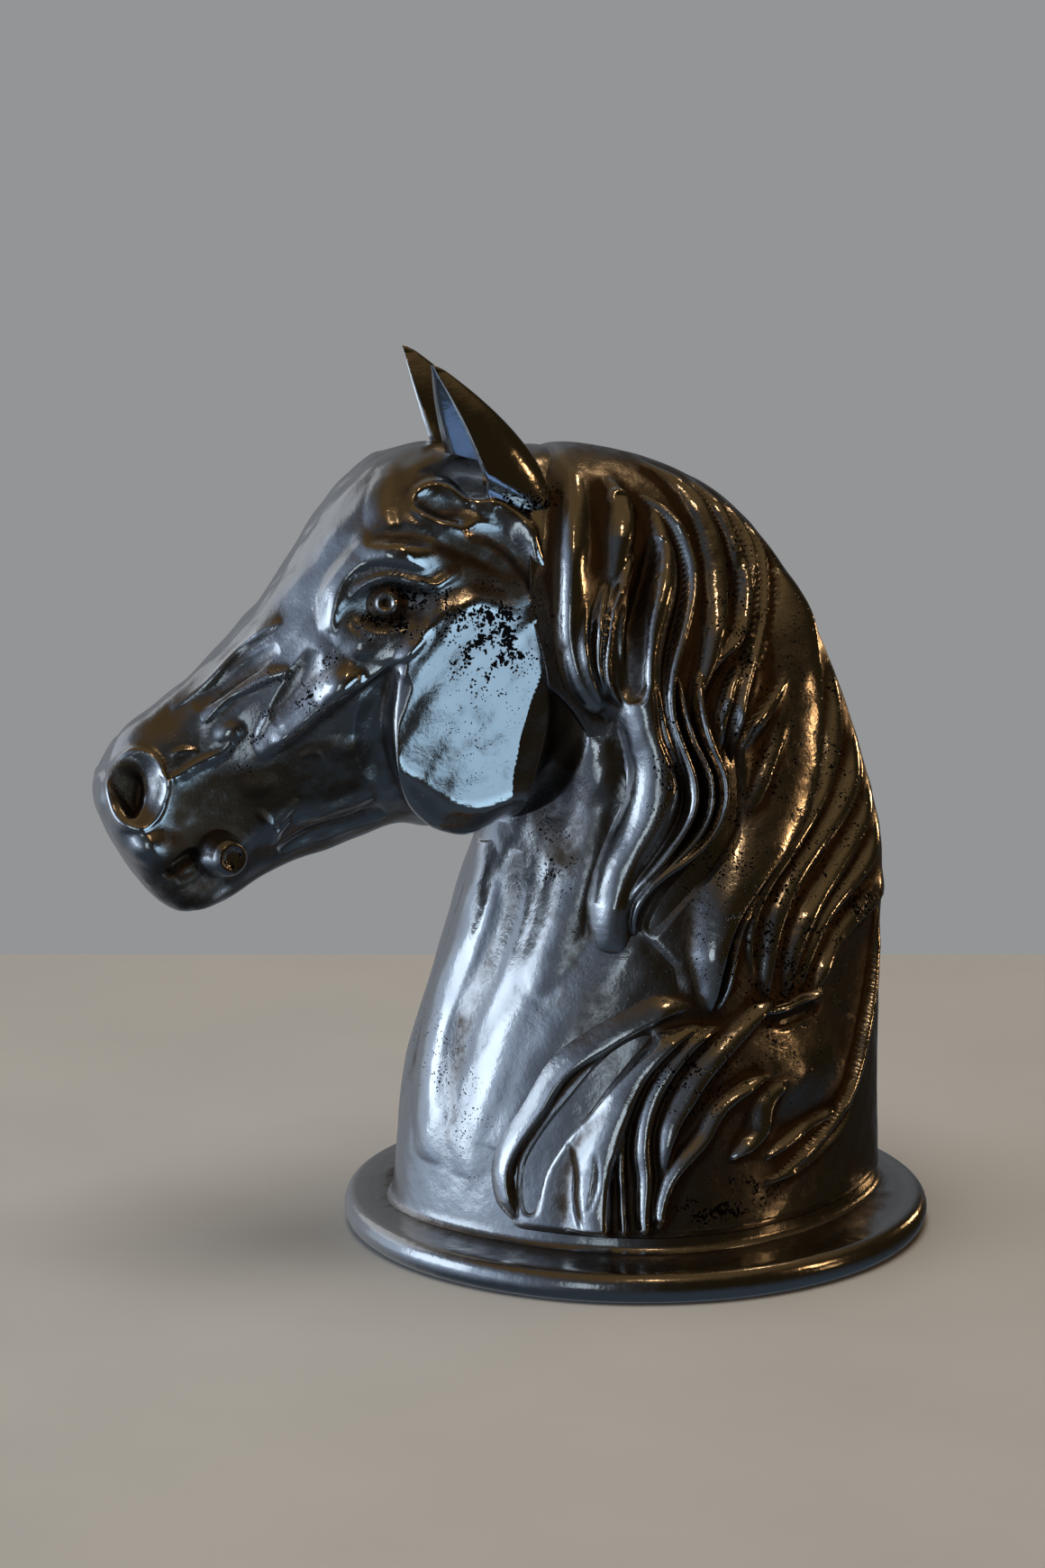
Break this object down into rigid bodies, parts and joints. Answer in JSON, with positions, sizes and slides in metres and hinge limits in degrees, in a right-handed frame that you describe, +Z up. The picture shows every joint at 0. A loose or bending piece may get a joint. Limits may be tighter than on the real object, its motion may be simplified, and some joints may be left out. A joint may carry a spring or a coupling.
{
  "type": "horse head bust",
  "caption": "Cast metal horse head bust with carved mane, upright ears and a round foot, in polished dark silver.",
  "frame": {"origin": "centre of the foot's underside", "axes": "+Z up, the nose towards -X, the mane towards +X, the near side of the head towards -Y"},
  "size_m": [0.3134, 0.22, 0.33],
  "materials": {
    "polished_dark_silver": "polished"
  },
  "bodies": {
    "root": {"bust_casting": "polished_dark_silver"}
  },
  "joints": []
}
